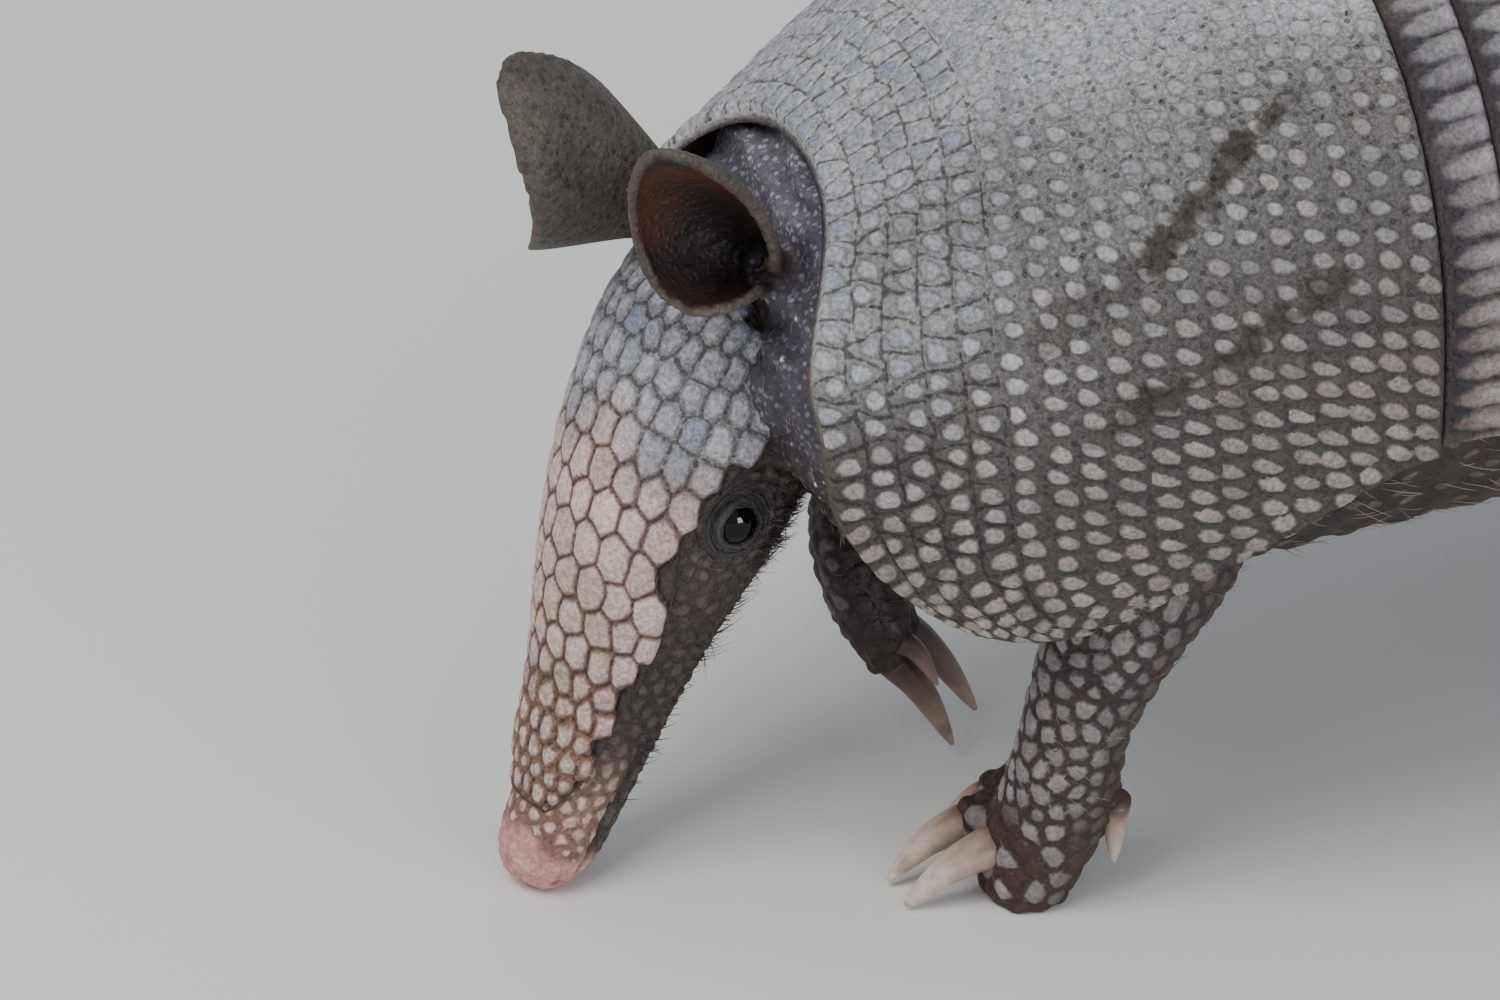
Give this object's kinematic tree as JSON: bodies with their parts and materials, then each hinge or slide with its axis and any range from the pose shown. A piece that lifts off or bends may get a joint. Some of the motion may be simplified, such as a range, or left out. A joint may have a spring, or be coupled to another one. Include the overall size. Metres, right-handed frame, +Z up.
{
  "type": "armadillo model",
  "caption": "Life-size nine-banded armadillo standing with its nose to the ground and one forefoot lifted, for display.",
  "frame": {"origin": "middle of the model's bounding box in plan, on the floor it stands on", "axes": "+Z up, the animal faces -Y, its left side is +X"},
  "size_m": [0.1364, 0.6272, 0.1617],
  "materials": {
    "armour": "dusty grey horn scutes over bone plates, matt",
    "face_armour": "pinkish white scutes with brown lines between, satin",
    "tail_armour": "grey-brown ringed scutes, matt",
    "skin": "dark granular skin with pale leg scutes and sparse hair",
    "claws": "pinkish beige horn, satin",
    "eyes": "near-black, wet and glossy"
  },
  "bodies": {
    "root": {"head": "skin", "head_shield": "face_armour", "ear_left": "skin", "ear_right": "skin", "eye_left": "eyes", "eye_right": "eyes", "neck": "skin", "trunk": "skin", "shoulder_shield": "armour", "band_1": "armour", "band_2": "armour", "band_3": "armour", "band_4": "armour", "band_5": "armour", "band_6": "armour", "band_7": "armour", "band_8": "armour", "band_9": "armour", "rump_shield": "armour", "foreleg_left": "skin", "foreleg_right": "skin", "forepaw_left": "skin", "forepaw_right": "skin", "hindleg_left": "skin", "hindleg_right": "skin", "hindpaw_left": "skin", "hindpaw_right": "skin", "forepaw_left_claw_1": "claws", "forepaw_left_claw_2": "claws", "forepaw_left_claw_3": "claws", "forepaw_left_claw_4": "claws", "forepaw_right_claw_1": "claws", "forepaw_right_claw_2": "claws", "forepaw_right_claw_3": "claws", "forepaw_right_claw_4": "claws", "hindpaw_left_claw_1": "claws", "hindpaw_left_claw_2": "claws", "hindpaw_left_claw_3": "claws", "hindpaw_left_claw_4": "claws", "hindpaw_left_claw_5": "claws", "hindpaw_right_claw_1": "claws", "hindpaw_right_claw_2": "claws", "hindpaw_right_claw_3": "claws", "hindpaw_right_claw_4": "claws", "hindpaw_right_claw_5": "claws", "tail_root": "tail_armour", "tail_middle": "tail_armour", "tail_end": "tail_armour", "tail_tip": "tail_armour"}
  },
  "joints": []
}
